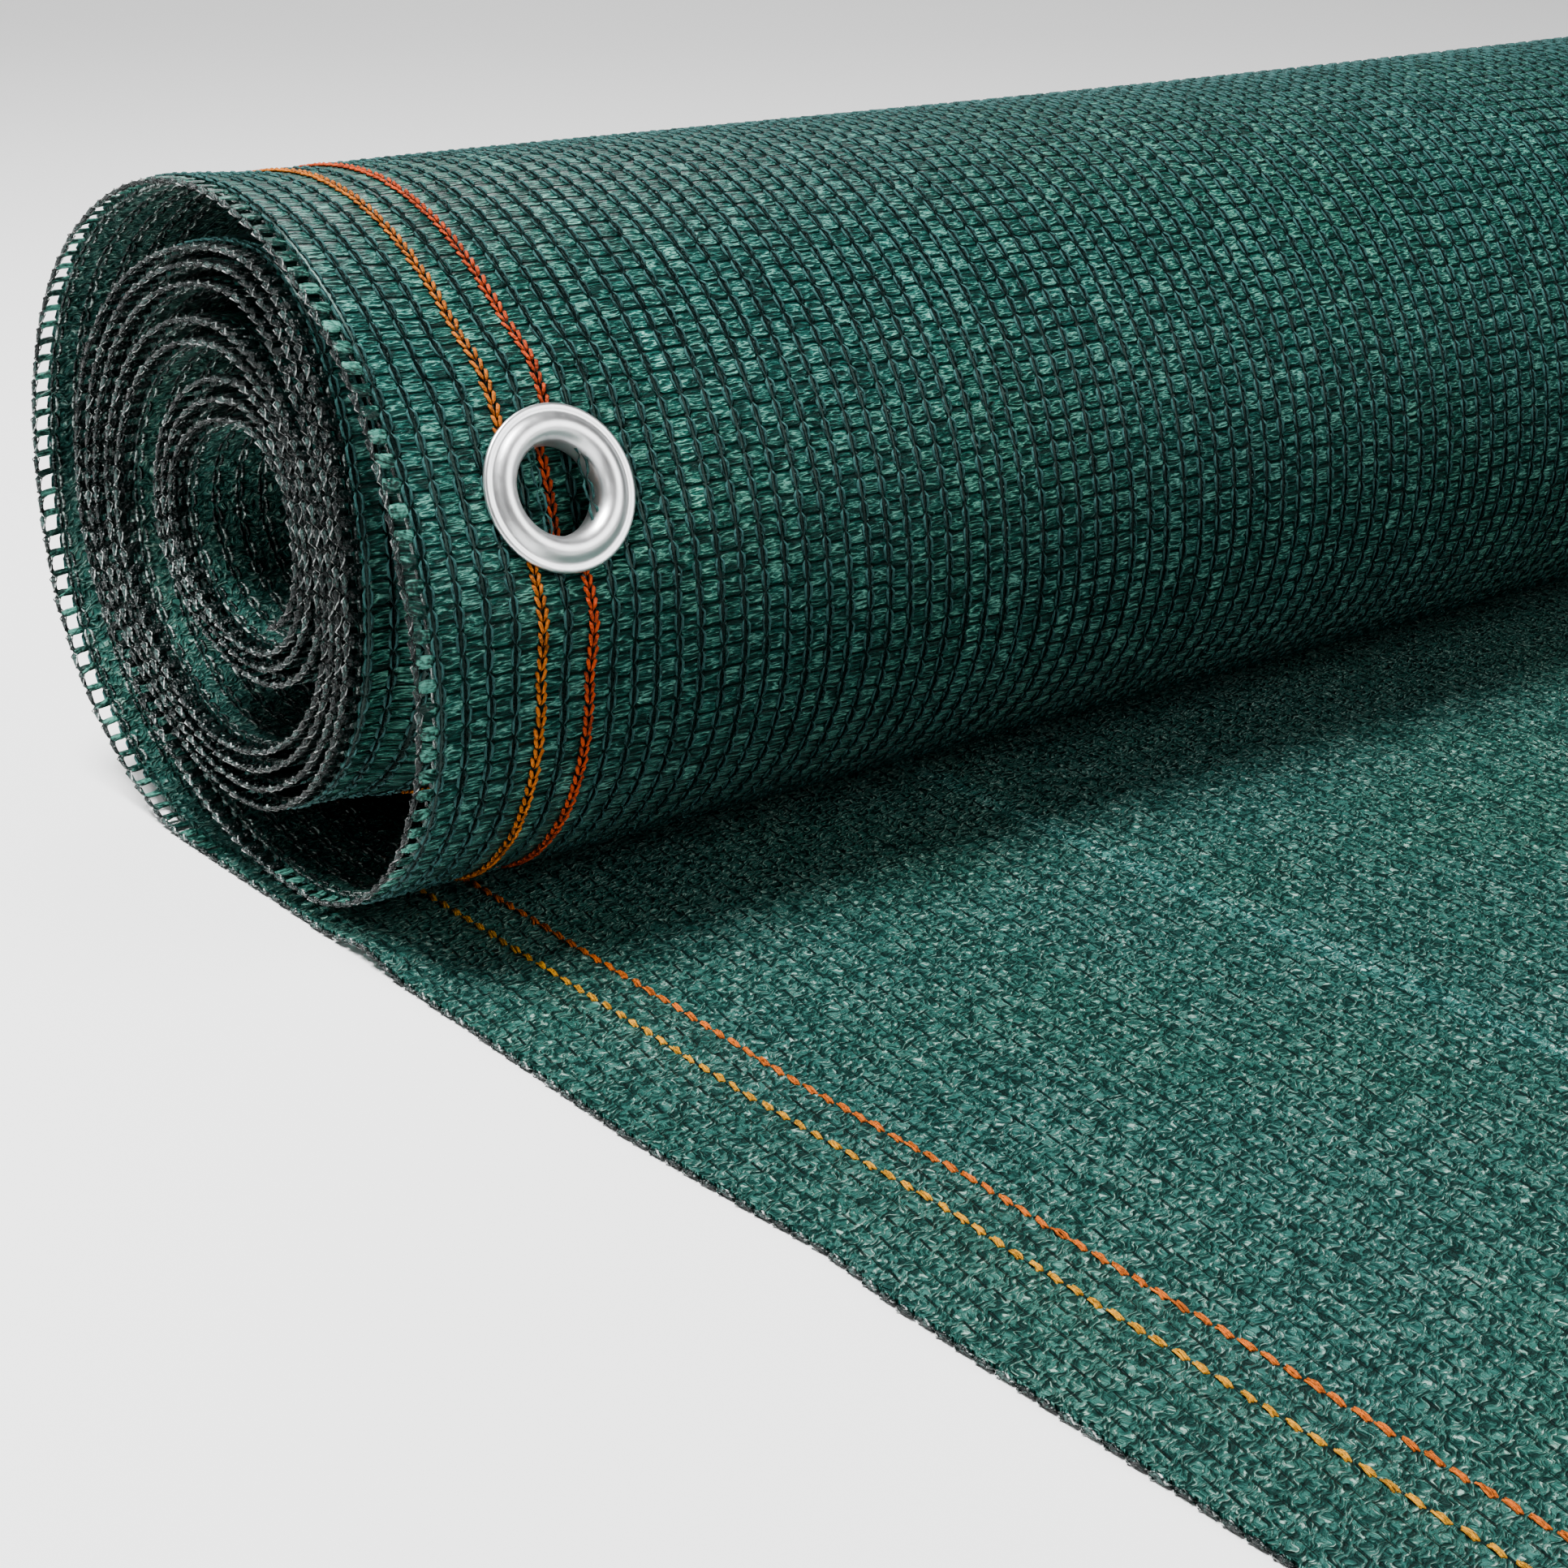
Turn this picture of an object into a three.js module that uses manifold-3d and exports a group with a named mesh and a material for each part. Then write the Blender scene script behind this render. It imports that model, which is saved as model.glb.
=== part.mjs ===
// Privacy screen: a length of knitted netting, rolled up loosely and partly laid out flat.
// X runs along the roll, +Y points to the back of the roll and the flat end lies towards -Y.
// Sections are drawn in the Y-Z plane of the near edge, seen with +Y to the right.
import * as THREE from "three";
import Module from "manifold-3d";
import { mergeVertices } from "three/addons/utils/BufferGeometryUtils.js";

// Driving dimensions, in millimetres.
const CLOTH_WIDTH = 750;
const CLOTH_THICKNESS = 1.2;
const FLAT_END = -250;
const GAP = 0.3;

// The edge strip is the stitched border of the flat part and of the outer turn.
const STRIP_WIDTH = 42;
const STRIP_MARGIN = 0.8;
const PAST_EDGE = 5;

// The eyelet stands on the front of the outer turn.
const EYELET_X = 26;
const EYELET_Z = 67;
const EYELET_HOLE_RADIUS = 6.2;
const BARREL_WALL = 0.6;
const FLANGE_RADIUS = 12;
const FLANGE_RISE = 2;
const WASHER_RADIUS = 11;
const WASHER_THICKNESS = 0.8;
const CURL_REACH = 1.4;
const CURL_THICKNESS = 0.7;
const CURL_ROUNDING = 0.4;
const WASHER_BEVEL = 0.3;
const HOLE_DRILL_LENGTH = 12;
const ROUND_SIDES = 24;

// The cloth is pressed flat around the eyelet and eases back into its curve further out.
const SEAT_FLAT_RADIUS = 13.5;
const SEAT_EASED_RADIUS = 26;

// Where each turn of the winding passes its lowest, rearmost, highest and foremost point.
// y and z lie on the outer surface, thick is the depth of the layers that lie together there,
// sway is how far that point wanders in and out along the roll.
const WINDING = [
  { at: "floor", y: 66, z: 0, thick: CLOTH_THICKNESS, sway: 0 },
  { at: "back", y: 111.4, z: 50, thick: CLOTH_THICKNESS, sway: 0 },
  { at: "top", y: 48, z: 102.4, thick: CLOTH_THICKNESS, sway: 0.6 },
  { at: "front", y: -9.6, z: 43, thick: CLOTH_THICKNESS, sway: 1.1 },
  { at: "bottom", y: 28, z: 3.6, thick: CLOTH_THICKNESS, sway: 0 },
  { at: "back", y: 95, z: 52, thick: 8.2, sway: 0.5 },
  { at: "top", y: 36, z: 96, thick: 6.7, sway: 0.5 },
  { at: "front", y: 8.3, z: 52, thick: 5.7, sway: 0 },
  { at: "bottom", y: 45, z: 13, thick: 8, sway: 0 },
  { at: "back", y: 84, z: 50, thick: 5.2, sway: 0 },
  { at: "top", y: 44, z: 85, thick: 4.7, sway: 0 },
  { at: "front", y: 15, z: 50, thick: 3.4, sway: 0 },
  { at: "bottom", y: 38, z: 33.5, thick: 2.5, sway: 0 },
  { at: "back", y: 66.5, z: 53, thick: 5.9, sway: 0 },
  { at: "top", y: 38, z: 77.7, thick: 6.8, sway: 0 },
  { at: "front", y: 19.4, z: 54, thick: 4, sway: 0 },
  { at: "bottom", y: 41, z: 37.6, thick: 1.6, sway: 0 },
];
const OUTER_FRONT = 3;
const STRIP_LAST_QUARTER = 3.75;
const QUARTER_LENGTH = 60;
const OUTER_BOTTOM = 4;
const SECOND_FRONT = 7;
const OUTER_STEPS = 8;
const INNER_STEPS = 5;
const FLAT_POINTS = [FLAT_END, -180, -110, -60, -30, -12, 0, 9, 18, 30, 46];

// Inside the roll the second turn swells towards the outer one, at both ends alike.
const SECOND_FRONT_SWELL = 9.3;
const SWELL_FROM = 8;
const SWELL_TO = 20;

// The wander along the roll is a slow wave that dies away at the ends.
const SWAY_LENGTH = 480;
const SWAY_EASE = 60;

// The near edge of the flat part waves a little, and lifts off the floor beside the roll.
const EDGE_WAVE = 0.8;
const EDGE_WAVE_LENGTH = 74;
const LIFT_HEIGHT = 1.6;
const LIFT_Y = 9;
const LIFT_SPREAD = 7;
const LIFT_DEPTH = 14;

const NETTING_COLOUR = 0x17423c;
const STRIP_COLOUR = 0x1b4d45;
const METAL_COLOUR = 0xc4c8ca;

const smooth = THREE.MathUtils.smoothstep;

// 0 at both ends of the cloth, 1 from "to" millimetres inwards.
function inward(x, from, to) {
  return smooth(Math.min(x, CLOTH_WIDTH - x), from, to);
}

function windingAt(x) {
  return WINDING.map((row, index) => {
    const phase = (2 * Math.PI * x) / SWAY_LENGTH + index;
    const sway = row.sway * Math.sin(phase) * inward(x, 0, SWAY_EASE);
    const swell = index === SECOND_FRONT ? SECOND_FRONT_SWELL * inward(x, SWELL_FROM, SWELL_TO) : 0;
    const sideways = row.at === "front" || row.at === "back";
    return {
      y: row.y + (sideways ? sway : 0) - swell,
      z: row.z + (sideways ? 0 : sway),
      thick: row.thick + swell,
    };
  });
}

// One point of a quarter ellipse between two rows. A quarter that starts at the bottom or the
// top leaves level and arrives upright, and the next one leaves upright and arrives level.
function quarterPoint(start, end, share, leavesLevel) {
  const angle = (share * Math.PI) / 2;
  const rise = Math.sin(angle);
  const fall = Math.cos(angle);
  const thick = THREE.MathUtils.lerp(start.thick, end.thick, share);
  const spanY = end.y - start.y;
  const spanZ = end.z - start.z;
  const y = leavesLevel ? start.y + spanY * rise : end.y - spanY * fall;
  const z = leavesLevel ? end.z - spanZ * fall : start.z + spanZ * rise;
  const alongY = leavesLevel ? spanY * fall : spanY * rise;
  const alongZ = leavesLevel ? spanZ * rise : spanZ * fall;
  const length = Math.hypot(alongY, alongZ);
  return { y, z, thick, inY: -alongZ / length, inZ: alongY / length };
}

// The outer surface from the flat end to the given place in the winding, counted in quarters.
function outerPath(x, toQuarter) {
  const rows = windingAt(x);
  const path = FLAT_POINTS.map((y) => ({ y, z: 0, thick: CLOTH_THICKNESS, inY: 0, inZ: 1, quarter: 0 }));
  for (let quarter = 0; quarter < toQuarter; quarter += 1) {
    const steps = quarter < OUTER_BOTTOM ? OUTER_STEPS : INNER_STEPS;
    for (let step = 0; step < steps && quarter + step / steps < toQuarter; step += 1) {
      const point = quarterPoint(rows[quarter], rows[quarter + 1], step / steps, quarter % 2 === 0);
      path.push({ ...point, quarter });
    }
  }
  const last = Math.ceil(toQuarter) - 1;
  const end = quarterPoint(rows[last], rows[last + 1], toQuarter - last, last % 2 === 0);
  path.push({ ...end, quarter: last });
  return path;
}

// The eyelet's seat: a point on the outer surface of the outer turn, and the way it faces.
function eyeletSeat() {
  const rows = windingAt(EYELET_X);
  const top = rows[OUTER_FRONT - 1];
  const front = rows[OUTER_FRONT];
  const share = 1 - Math.asin((EYELET_Z - front.z) / (top.z - front.z)) / (Math.PI / 2);
  const point = quarterPoint(top, front, share, true);
  return { y: point.y, z: point.z, outY: -point.inY, outZ: -point.inZ };
}
const SEAT = eyeletSeat();

// Moves a point of the outer turn onto the seat's plane, fully near the eyelet.
function pressFlat(x, y, z) {
  const height = (y - SEAT.y) * SEAT.outY + (z - SEAT.z) * SEAT.outZ;
  const away = Math.hypot(x - EYELET_X, y - SEAT.y, z - SEAT.z);
  const share = 1 - smooth(away, SEAT_FLAT_RADIUS, SEAT_EASED_RADIUS);
  return { y: y - height * share * SEAT.outY, z: z - height * share * SEAT.outZ };
}

// A loop of section points around the cloth: its outer surface, then back along its inner one.
// grow widens the loop on both faces, which makes the zone that a cut needs.
function sectionLoop(x, toQuarter, grow) {
  const outer = [];
  const inner = [];
  for (const point of outerPath(x, toQuarter)) {
    const seated = point.quarter < OUTER_BOTTOM ? pressFlat(x, point.y, point.z) : point;
    const lift = edgeLift(x, point.y, point.z);
    const depth = point.thick + grow;
    outer.push(new THREE.Vector3(x, seated.y - grow * point.inY, seated.z + lift - grow * point.inZ));
    inner.push(new THREE.Vector3(x, seated.y + depth * point.inY, seated.z + lift + depth * point.inZ));
  }
  return outer.concat(inner.reverse());
}

function edgeLift(x, y, z) {
  const nearFloor = z < CLOTH_THICKNESS ? 1 : 0;
  const along = Math.exp(-(((y - LIFT_Y) / LIFT_SPREAD) ** 2));
  return LIFT_HEIGHT * nearFloor * along * (1 - smooth(x, 0, LIFT_DEPTH));
}

// The free edges wave by under a millimetre, always inwards.
function edgeShift(y, z) {
  return EDGE_WAVE * (0.5 + 0.5 * Math.sin((2 * Math.PI * (y + z)) / EDGE_WAVE_LENGTH));
}

function triangulated(loop) {
  return THREE.ShapeUtils.triangulateShape(loop.map((point) => new THREE.Vector2(point.y, point.z)), []);
}

// A closed body through section loops that stand side by side along the roll.
function loft(loops) {
  const count = loops[0].length;
  const positions = [];
  const addTriangle = (a, b, c) => {
    for (const point of [a, b, c]) {
      positions.push(point.x, point.y, point.z);
    }
  };
  for (let station = 0; station + 1 < loops.length; station += 1) {
    const near = loops[station];
    const far = loops[station + 1];
    for (let index = 0; index < count; index += 1) {
      const next = (index + 1) % count;
      addTriangle(near[index], near[next], far[next]);
      addTriangle(near[index], far[next], far[index]);
    }
  }
  const first = loops[0];
  const final = loops[loops.length - 1];
  for (const [a, b, c] of triangulated(first)) {
    addTriangle(first[a], first[c], first[b]);
  }
  for (const [a, b, c] of triangulated(final)) {
    addTriangle(final[a], final[b], final[c]);
  }
  const geometry = new THREE.BufferGeometry();
  geometry.setAttribute("position", new THREE.Float32BufferAttribute(positions, 3));
  return geometry;
}

const wasm = await Module();
wasm.setup();

function toSolid(geometry) {
  const bare = geometry.clone();
  bare.deleteAttribute("normal");
  bare.deleteAttribute("uv");
  const merged = mergeVertices(bare, 1e-4);
  return new wasm.Manifold(new wasm.Mesh({
    numProp: 3,
    vertProperties: new Float32Array(merged.attributes.position.array),
    triVerts: new Uint32Array(merged.index.array),
  }));
}

function toGeometry(solid) {
  const mesh = solid.getMesh();
  const geometry = new THREE.BufferGeometry();
  geometry.setAttribute("position", new THREE.BufferAttribute(new Float32Array(mesh.vertProperties), 3));
  geometry.setIndex(new THREE.BufferAttribute(new Uint32Array(mesh.triVerts), 1));
  return geometry;
}

// Turns a lathe's axis, which is +Y, into the direction that the eyelet faces, at its seat.
function seatMatrix() {
  const facing = new THREE.Vector3(0, SEAT.outY, SEAT.outZ);
  const turn = new THREE.Quaternion().setFromUnitVectors(new THREE.Vector3(0, 1, 0), facing);
  return new THREE.Matrix4().compose(
    new THREE.Vector3(EYELET_X, SEAT.y, SEAT.z), turn, new THREE.Vector3(1, 1, 1));
}

// Places along the roll where a section is drawn: close together at the ends and the eyelet.
const STRIP_PLACES = [0, 5, 10, 16, 21, 26, 31, 37];
const REST_PLACES = [44, 60, 160, 270, 380, 490, 600, 700, 730, 740, 750];

// The whole cloth in one body, before the strip is parted from it.
function wholeCloth() {
  const places = STRIP_PLACES.concat(REST_PLACES);
  const loops = places.map((x) => sectionLoop(x, WINDING.length - 1, 0));
  for (const point of loops[0]) {
    point.x += edgeShift(point.y, point.z);
  }
  for (const point of loops[loops.length - 1]) {
    point.x -= edgeShift(point.y, point.z);
  }
  return toSolid(loft(loops));
}

// The space that the strip takes out of the cloth. The strip ends where the outer turn tucks
// in under the roll, and the zone reaches past the cloth's free edges.
function stripZone(width, extraQuarter) {
  const places = [-PAST_EDGE, ...STRIP_PLACES.slice(1), width];
  const lastQuarter = STRIP_LAST_QUARTER + extraQuarter;
  const loops = places.map((x) => sectionLoop(x, lastQuarter, STRIP_MARGIN));
  for (const loop of loops) {
    loop[0].y -= PAST_EDGE;
    loop[loop.length - 1].y -= PAST_EDGE;
  }
  return toSolid(loft(loops));
}

// The strip ends a gap short of the rest of the cloth, across and along.
function makeStrip(cloth) {
  const zone = stripZone(STRIP_WIDTH, 0);
  const radius = EYELET_HOLE_RADIUS + BARREL_WALL + GAP;
  const hole = new THREE.CylinderGeometry(radius, radius, HOLE_DRILL_LENGTH, ROUND_SIDES);
  hole.applyMatrix4(seatMatrix());
  return cloth.intersect(zone).subtract(toSolid(hole));
}

function makeNetting(cloth) {
  return cloth.subtract(stripZone(STRIP_WIDTH + GAP, GAP / QUARTER_LENGTH));
}

function latheProfile(rows) {
  const points = rows.map(([radius, height]) => new THREE.Vector2(radius, height));
  points.push(points[0].clone());
  return points;
}

// Heights are measured from the cloth's outer surface, outwards.
const WASHER_TOP = -CLOTH_THICKNESS - GAP;
const WASHER_BOTTOM = WASHER_TOP - WASHER_THICKNESS;
const CURL_TOP = WASHER_BOTTOM - GAP;
const CURL_BOTTOM = CURL_TOP - CURL_THICKNESS;

// The flange's outer face as [distance from the hole's edge, height], from the hole to the rim.
const FLANGE_FACE = [
  [0, 0.6],
  [0.25, 1.2],
  [0.9, 1.65],
  [1.8, FLANGE_RISE],
  [3, 1.9],
  [4.3, 1.45],
  [5.3, 0.9],
  [5.8, 0.65],
];

// A domed flange with a rolled inner lip, a barrel through the cloth and a curled-over end.
function eyeletGeometry() {
  const hole = EYELET_HOLE_RADIUS;
  const barrel = hole + BARREL_WALL;
  const curlEdge = barrel + CURL_REACH;
  const rows = [
    [hole, CURL_TOP],
    ...FLANGE_FACE.map(([distance, height]) => [hole + distance, height]),
    [FLANGE_RADIUS, GAP],
    [barrel, GAP],
    [barrel, CURL_TOP],
    [curlEdge, CURL_TOP],
    [curlEdge, CURL_TOP - CURL_ROUNDING],
    [curlEdge - CURL_ROUNDING, CURL_BOTTOM],
    [barrel, CURL_BOTTOM],
  ];
  return new THREE.LatheGeometry(latheProfile(rows.reverse()), ROUND_SIDES);
}

function washerGeometry() {
  const bore = EYELET_HOLE_RADIUS + BARREL_WALL + GAP;
  const rows = [
    [bore, WASHER_TOP],
    [bore, WASHER_BOTTOM],
    [WASHER_RADIUS - WASHER_BEVEL, WASHER_BOTTOM],
    [WASHER_RADIUS, WASHER_BOTTOM + WASHER_BEVEL],
    [WASHER_RADIUS, WASHER_TOP],
  ];
  return new THREE.LatheGeometry(latheProfile(rows), ROUND_SIDES);
}

function addPiece(group, name, solid, colour, roughness, metalness) {
  const material = new THREE.MeshStandardMaterial({ color: colour, roughness, metalness });
  const mesh = new THREE.Mesh(toGeometry(solid), material);
  mesh.name = name;
  group.add(mesh);
}

const screen = new THREE.Group();
const cloth = wholeCloth();
addPiece(screen, "netting", makeNetting(cloth), NETTING_COLOUR, 0.6, 0);
addPiece(screen, "edge_strip", makeStrip(cloth), STRIP_COLOUR, 0.6, 0);
addPiece(screen, "eyelet", toSolid(eyeletGeometry().applyMatrix4(seatMatrix())), METAL_COLOUR, 0.35, 1);
addPiece(screen, "eyelet_washer", toSolid(washerGeometry().applyMatrix4(seatMatrix())), METAL_COLOUR, 0.4, 1);

// The origin is on the floor, under the middle of the whole thing.
screen.position.set(-CLOTH_WIDTH / 2, -(FLAT_END + WINDING[1].y) / 2, 0);

export default screen;
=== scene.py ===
"""Looks of a knitted privacy screen: a loose roll of netting with one end laid out flat.

Lengths in the shape functions are millimetres in the section's own frame: x from the near edge of
the cloth, y to the back and z up, with the flat end at FLAT_END. to_frame turns them into metres.
"""
import math

import bpy
import mathutils
import numpy as np
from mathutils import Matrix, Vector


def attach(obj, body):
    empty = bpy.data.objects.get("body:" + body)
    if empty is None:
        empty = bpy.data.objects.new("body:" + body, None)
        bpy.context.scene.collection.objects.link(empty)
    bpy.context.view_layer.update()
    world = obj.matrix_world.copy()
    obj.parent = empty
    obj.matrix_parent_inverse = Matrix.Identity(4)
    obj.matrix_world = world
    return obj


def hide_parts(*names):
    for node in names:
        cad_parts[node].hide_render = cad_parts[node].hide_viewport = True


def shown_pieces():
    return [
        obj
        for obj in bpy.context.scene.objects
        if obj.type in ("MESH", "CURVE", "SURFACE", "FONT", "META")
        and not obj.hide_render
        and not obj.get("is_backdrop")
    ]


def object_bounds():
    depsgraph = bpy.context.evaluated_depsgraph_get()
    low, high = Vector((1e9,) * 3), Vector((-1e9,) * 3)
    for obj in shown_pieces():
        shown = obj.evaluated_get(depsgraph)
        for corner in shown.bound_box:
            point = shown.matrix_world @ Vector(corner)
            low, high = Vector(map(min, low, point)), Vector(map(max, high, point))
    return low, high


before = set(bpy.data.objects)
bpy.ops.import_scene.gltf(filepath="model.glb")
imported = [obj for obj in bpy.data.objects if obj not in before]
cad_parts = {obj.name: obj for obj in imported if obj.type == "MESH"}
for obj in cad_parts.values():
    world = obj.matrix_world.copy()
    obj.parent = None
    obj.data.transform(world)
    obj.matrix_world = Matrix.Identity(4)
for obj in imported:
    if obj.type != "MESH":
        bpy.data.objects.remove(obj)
CAD_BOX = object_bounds()

bl_info = {
    "name": "Knitted privacy screen",
    "version": (1, 0, 0),
    "blender": (4, 5, 0),
    "location": "3D view, sidebar, Screen",
    "description": "Builds the netting, stitching and eyelet of a rolled privacy screen",
    "category": "Object",
}

MM = 0.001

# The section, as the solids have it.
FLAT_END = -250.0
FLOOR_Y = 66.0
CLOTH_WIDTH = (CAD_BOX[1].x - CAD_BOX[0].x) / MM
SHIFT = np.array([CAD_BOX[0].x / MM, CAD_BOX[0].y / MM - FLAT_END, 0.0])

# Each turn of the roll from the outside in: its rearmost, highest, foremost and lowest point.
TURNS = (
    {"back": (111.4, 50.0), "top": (48.0, 102.4), "front": (-9.6, 43.0), "bottom": (28.0, 3.6)},
    {"back": (95.0, 52.0), "top": (36.0, 96.0), "front": (8.3, 52.0), "bottom": (45.0, 13.0)},
    {"back": (91.0, 52.0), "top": (38.0, 93.5), "front": (10.4, 51.0), "bottom": (47.0, 15.5)},
    {"back": (88.0, 51.0), "top": (40.0, 90.5), "front": (12.4, 51.0), "bottom": (49.0, 18.0)},
    {"back": (84.0, 50.0), "top": (44.0, 85.0), "front": (14.4, 50.0), "bottom": (50.0, 20.5)},
    {"back": (80.5, 50.0), "top": (43.0, 82.0), "front": (16.3, 50.0), "bottom": (38.0, 33.5)},
    {"back": (66.5, 53.0), "top": (38.0, 77.7), "front": (19.0, 53.0), "bottom": (39.0, 35.4)},
    {"back": (64.0, 54.0), "top": (38.0, 74.8), "front": (20.8, 54.0), "bottom": (40.0, 37.4)},
    {"back": (61.8, 54.0), "top": (37.5, 72.0), "front": (22.6, 55.0), "bottom": (36.0, 42.0)},
)
ROW_PLACES = ("back", "top", "front", "bottom")
ROWS = np.array([(FLOOR_Y, 0.0)] + [turn[place] for turn in TURNS for place in ROW_PLACES])
LAST_QUARTER = len(ROWS) - 1
OUTER_QUARTERS = 4

# How far the outer rows wander along the roll, by row number, and how a wander dies away.
SWAY = np.zeros(len(ROWS))
SWAY[[2, 3, 5, 6]] = 0.6, 1.1, 0.5, 0.5
SWAY_LENGTH = 480.0
SWAY_EASE = 60.0

# Inside the roll the front of the second turn, and less of each one after it, swells outwards.
SWELL = np.zeros(len(ROWS))
SWELL[7::4] = 11.0 * np.linspace(1, 0, len(SWELL[7::4]))
SWELL_FROM = 8.0
SWELL_TO = 20.0

# The outer turn flares at the near edge.
FLARE_HEIGHT = 1.2
FLARE_DEPTH = 20.0

# The free edges wave inwards a little, and the near one lifts off the floor beside the roll.
EDGE_WAVE = 0.4
EDGE_WAVE_LENGTH = 74.0
EDGE_WAVE_DEPTH = 12.0
LIFT_HEIGHT = 1.6
LIFT_Y = 9.0
LIFT_SPREAD = 7.0
LIFT_DEPTH = 14.0

# How far the flat part strays along the roll at places y: its near edge, and the cloth from the
# border inwards. It straightens out towards the far edge.
STRAY_Y = (-165, -140, -118, -106, -94, -82, -70, -58, -30, 0, 30, 60)
EDGE_STRAY = (0.9, 0.8, 0.7, 0.9, 1.8, 0.9, 0.1, -0.5, -0.2, -0.1, 0.0, 0.0)
BORDER_STRAY = (-2.2, -1.7, -1.7, -1.6, -1.2, -1.6, -2.0, -2.3, -1.7, -1.3, -0.8, 0.0)
STRAY_FROM = 80.0
STRAY_TO = 400.0

EYELET_X = 26.0
EYELET_Z = 67.0
SEAT_FLAT_RADIUS = 13.5
SEAT_EASED_RADIUS = 26.0
TOP_ROW = 2
FRONT_ROW = 3

# The knit: wales are the chains along the cloth, courses are the rows across it.
FIRST_WALE = 3.75
BORDER_WALE = 27.03
BORDER_COUNT = 6
WALE_COUNT = 200
COURSE = 3.3
STITCH_WALES = (4, 6)
SHEET_EDGE = 3.3
CLOSED_EDGE = 0.8
OPEN_FROM = -0.03
SHEET_THICKNESS = 1.0
HOLE_RADIUS = 8.2
WALE_NUMBERS = (0, BORDER_COUNT, WALE_COUNT)
WALE_PLACES = (FIRST_WALE, BORDER_WALE, CLOTH_WIDTH - FIRST_WALE)

# The sheet's grid: rows along the cloth, by length or by number a quarter, and columns across it.
FLAT_ROW_STEP = 5.0
OUTER_ROWS = 20
INNER_ROWS = 9
HOLE_ROWS_REACH = 13.2
HOLE_ROW_STEP = 1.2
BORDER_COLUMN_STEP = 1.4
BORDER_COLUMNS_TO = 50
MIDDLE_COLUMNS_FROM = 55
MIDDLE_COLUMN_STEP = 22
FAR_COLUMNS = (30, 20, 12, 6, 3)
FAR_COLUMNS_WIDTH = 35

# Where the pieces begin and end in the winding, in quarters, and short of the cloth's end.
OUTER_CHAINS = (0.25, 3.9)
SECOND_TURN_END = 8.2
LADDER_SPLIT = 4.1
END_MARGIN = 4


def smooth(value, low, high):
    """0 below low and 1 above high, with an S-shaped rise between them."""
    share = np.clip((value - low) / (high - low), 0, 1)
    return share * share * (3 - 2 * share)


def inward(x, low, high):
    """0 at both edges of the cloth, 1 from high millimetres inwards."""
    return smooth(np.minimum(x, CLOTH_WIDTH - x), low, high)


def row_point(index, x):
    """A row of the winding at place x along the roll: its table point, swayed and swollen."""
    sway = SWAY[index] * np.sin(2 * math.pi * x / SWAY_LENGTH + index) * inward(x, 0, SWAY_EASE)
    sideways = index % 2 == 1
    y = ROWS[index, 0] + np.where(sideways, sway, 0) - SWELL[index] * inward(x, SWELL_FROM, SWELL_TO)
    flare = FLARE_HEIGHT * (1 - smooth(x, 0, FLARE_DEPTH)) * (index == TOP_ROW)
    z = ROWS[index, 1] + np.where(sideways, 0, sway) + flare
    return y, z


def bare_section(x, turn):
    """The outer surface (y, z) and its tangent at place x and winding parameter turn.

    turn runs from -1 at the flat end to 0 under the roll, then one step a quarter. A quarter is a
    quarter ellipse: an even one leaves level and an odd one leaves upright.
    """
    quarter = np.clip(np.floor(turn), 0, LAST_QUARTER - 1).astype(int)
    angle = np.clip(turn - quarter, 0, 1) * math.pi / 2
    rise, fall = np.sin(angle), np.cos(angle)
    y0, z0 = row_point(quarter, x)
    y1, z1 = row_point(quarter + 1, x)
    level = quarter % 2 == 0
    y = np.where(level, y0 + (y1 - y0) * rise, y1 - (y1 - y0) * fall)
    z = np.where(level, z1 - (z1 - z0) * fall, z0 + (z1 - z0) * rise)
    along_y = (y1 - y0) * np.where(level, fall, rise)
    along_z = (z1 - z0) * np.where(level, rise, fall)
    flat = turn < 0
    y = np.where(flat, FLOOR_Y + turn * (FLOOR_Y - FLAT_END), y)
    z = np.where(flat, 0, z)
    along_y = np.where(flat, 1, along_y)
    along_z = np.where(flat, 0, along_z)
    length = np.hypot(along_y, along_z)
    return y, z, along_y / length, along_z / length


def seat_turn():
    """The winding parameter at which the outer turn passes the eyelet's height."""
    _, top_z = row_point(TOP_ROW, EYELET_X)
    _, front_z = row_point(FRONT_ROW, EYELET_X)
    return TOP_ROW + math.acos((EYELET_Z - front_z) / (top_z - front_z)) / (math.pi / 2)


def seat_point():
    """The eyelet's seat (x, y, z) on the outer surface, and the way it faces."""
    y, z, along_y, along_z = bare_section(np.array([EYELET_X]), np.array([seat_turn()]))
    return np.array([EYELET_X, y[0], z[0]]), np.array([0, along_z[0], -along_y[0]])


SEAT, SEAT_FACING = seat_point()


def stray(x, y):
    """How far the flat part lies off its place along the roll, from the tables by y: the edge's
    share falls and the border's rises over the border's width, and both end further in."""
    share = np.clip(x / BORDER_WALE, 0, 1)
    edge = np.interp(y, STRAY_Y, EDGE_STRAY)
    border = np.interp(y, STRAY_Y, BORDER_STRAY)
    return (edge * (1 - share) + border * share) * (1 - smooth(x, STRAY_FROM, STRAY_TO))


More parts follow.
